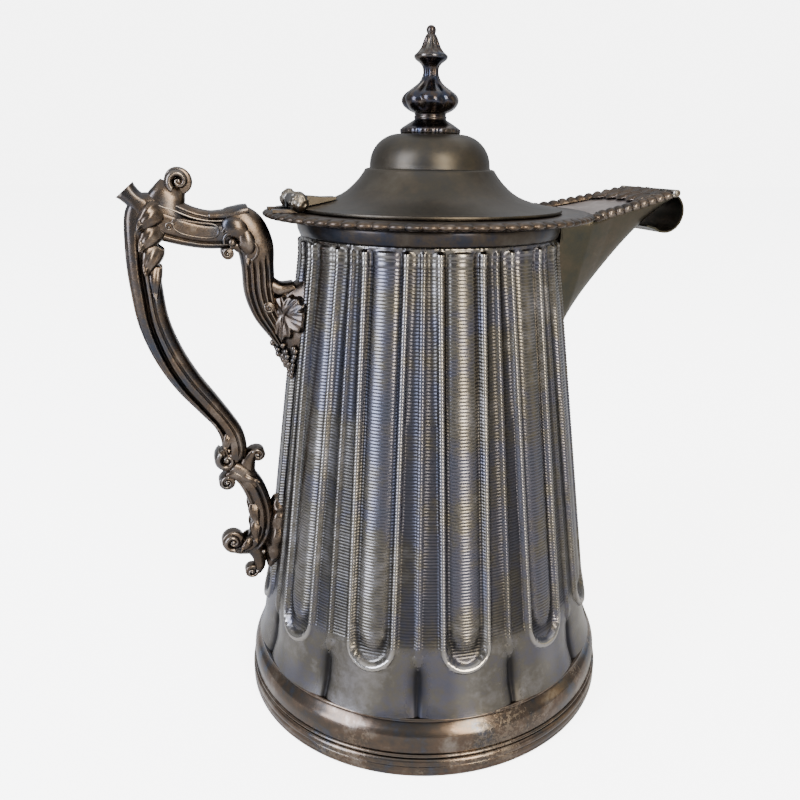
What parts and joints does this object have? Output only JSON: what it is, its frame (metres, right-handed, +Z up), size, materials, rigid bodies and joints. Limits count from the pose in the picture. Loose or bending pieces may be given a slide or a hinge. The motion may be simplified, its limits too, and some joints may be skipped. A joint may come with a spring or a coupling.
{
  "type": "covered water pitcher",
  "caption": "Tall fluted silver-plate water pitcher with banded foot, domed hinged lid and finial, covered spout with swinging pour flap, and cast scroll handle.",
  "frame": {"origin": "centre of the foot's rest face, on the body's axis at table level", "axes": "+Z up along the body's axis, +X towards the spout, -X towards the handle, +Y to the left of the spout"},
  "size_m": [0.2572, 0.1884, 0.32],
  "materials": {
    "body_plate": "tarnished silver plate over white metal, polished high spots",
    "foot_plate": "dark worn silver plate, glossy",
    "lid_plate": "dull satin silver plate",
    "spout_plate": "satin silver plate",
    "cast_plate": "cast and chased silver plate, tarnished in the hollows",
    "finial_plate": "turned silver plate",
    "hinge_plate_silver": "worn bright metal",
    "liner_enamel": "glazed enamel on sheet metal"
  },
  "bodies": {
    "pitcher": {"foot_ring": "foot_plate", "bottom_plate": "foot_plate", "body_shell": "body_plate", "liner": "liner_enamel", "port_sleeve": "hinge_plate_silver", "neck_collar": "body_plate", "rim_border": "cast_plate", "spout_trough": "spout_plate", "spout_cover": "spout_plate", "cover_border": "cast_plate", "flap_ears": "hinge_plate_silver", "flap_pin": "hinge_plate_silver", "hinge_leaf": "cast_plate", "hinge_pin": "hinge_plate_silver", "hinge_balls": "hinge_plate_silver", "handle_grip": "cast_plate", "handle_bracket": "cast_plate", "grape_mount": "cast_plate", "handle_scroll": "cast_plate", "handle_pad": "cast_plate"},
    "lid_assembly": {"lid": "lid_plate", "lid_bezel": "lid_plate", "finial": "finial_plate", "finial_washer": "hinge_plate_silver", "finial_nut": "hinge_plate_silver", "hinge_arm": "cast_plate"},
    "flap_assembly": {"pour_flap": "spout_plate"}
  },
  "joints": [
    {"name": "lid_hinge", "type": "hinge", "parent": "pitcher", "child": "lid_assembly", "pos_m": [-0.0625, 0, 0.247], "axis": [0, -1, 0], "range_deg": [0, 95]},
    {"name": "flap_hinge", "type": "hinge", "parent": "pitcher", "child": "flap_assembly", "pos_m": [0.1175, 0, 0.251], "axis": [0, -1, 0], "range_deg": [0, 60]}
  ]
}
